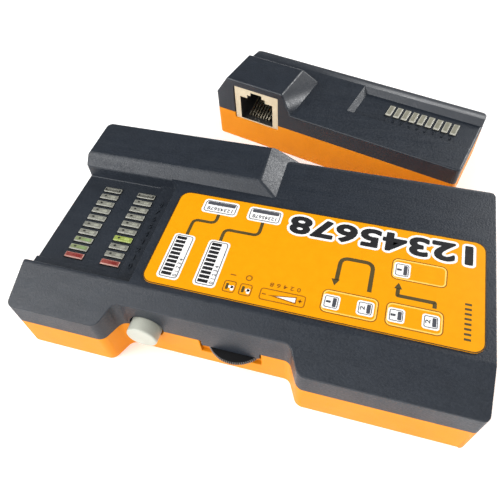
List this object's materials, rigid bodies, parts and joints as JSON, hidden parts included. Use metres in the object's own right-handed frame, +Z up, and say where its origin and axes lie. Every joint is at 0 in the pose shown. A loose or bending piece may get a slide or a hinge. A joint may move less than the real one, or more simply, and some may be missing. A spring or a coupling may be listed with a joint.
{
  "type": "network cable tester",
  "caption": "Handheld network cable tester: main unit with rear sockets, push button, speed wheel and lamp columns, and a small remote unit with a socket and lamp row.",
  "frame": {"origin": "middle of the main unit's flat underside", "axes": "+Z up, +X along the main unit's length to the label end, +Y from the button side to the socket side"},
  "size_m": [0.1076, 0.1184, 0.0238],
  "materials": {
    "dark_case": "fine moulded grain",
    "orange_case": "fine moulded grain",
    "label_film": "printed satin film",
    "board": "solder resist",
    "jack_ivory": "satin",
    "contact_gold": "gold plated",
    "lamp_clear": "clear lens",
    "lamp_red": "red lens",
    "tinned_lead": "tinned",
    "button_white": "satin",
    "switch_black": "matt",
    "spring_steel": "bright",
    "wheel_black": "knurled rim",
    "screw_steel": "zinc plated",
    "rotor_plastic": "satin",
    "control_body": "matt",
    "battery_skin": "plain sleeve",
    "battery_metal": "nickel plated",
    "snap_vinyl": "matt",
    "red_wire": "satin",
    "chip_black": "matt",
    "resistor_tan": "lacquer",
    "capacitor_sleeve": "sleeve",
    "diode_body": "glass"
  },
  "bodies": {
    "main": {"main_top_shell": "dark_case", "main_bottom_shell": "orange_case", "front_label": "label_film", "main_pcb": "board", "rx_jack_housing": "jack_ivory", "rx_jack_contacts": "contact_gold", "tx_jack_housing": "jack_ivory", "tx_jack_contacts": "contact_gold", "rx_leds": "lamp_clear", "rx_end_led": "lamp_red", "tx_leds": "lamp_clear", "tx_end_led": "lamp_red", "main_led_leads": "tinned_lead", "switch_spring": "spring_steel", "switch_housing": "switch_black", "switch_terminals": "tinned_lead", "pot_body": "control_body", "pot_terminals": "tinned_lead", "battery_case": "battery_skin", "battery_terminals": "battery_metal", "battery_snap": "snap_vinyl", "battery_lead_red": "red_wire", "battery_lead_black": "snap_vinyl", "controller_chip": "chip_black", "controller_legs": "tinned_lead", "timer_chip": "chip_black", "timer_legs": "tinned_lead", "resistors": "resistor_tan", "resistor_leads": "tinned_lead", "capacitors": "capacitor_sleeve", "case_screws": "screw_steel", "pcb_screws": "screw_steel"},
    "button": {"power_button": "button_white", "switch_plunger": "switch_black"},
    "wheel": {"speed_wheel": "wheel_black", "wheel_screw": "screw_steel", "pot_rotor": "rotor_plastic"},
    "door": {"battery_door": "orange_case"},
    "remote": {"remote_top_shell": "dark_case", "remote_bottom_shell": "orange_case", "remote_jack_housing": "jack_ivory", "remote_jack_contacts": "contact_gold", "remote_pcb": "board", "remote_leds": "lamp_clear", "remote_led_leads": "tinned_lead", "remote_diodes": "diode_body", "remote_diode_leads": "tinned_lead", "remote_case_screws": "screw_steel", "remote_pcb_screws": "screw_steel"}
  },
  "joints": [
    {"name": "button_press", "type": "slide", "parent": "main", "child": "button", "axis": [0, 1, 0], "range_m": [0, 0.002], "stiffness_N_per_m": 600, "springref_m": -0.001, "deforming": ["switch_spring"]},
    {"name": "wheel_turn", "type": "hinge", "parent": "main", "child": "wheel", "pos_m": [-0.00055, -0.01912, 0.0072], "axis": [0, 0, 1], "range_deg": [-135, 135]},
    {"name": "door_slide", "type": "slide", "parent": "main", "child": "door", "axis": [1, 0, 0], "range_m": [0, 0.052]},
    {"name": "remote_lift", "type": "slide", "parent": "main", "child": "remote", "axis": [0, 0, 1], "range_m": [0, 0.06]}
  ]
}
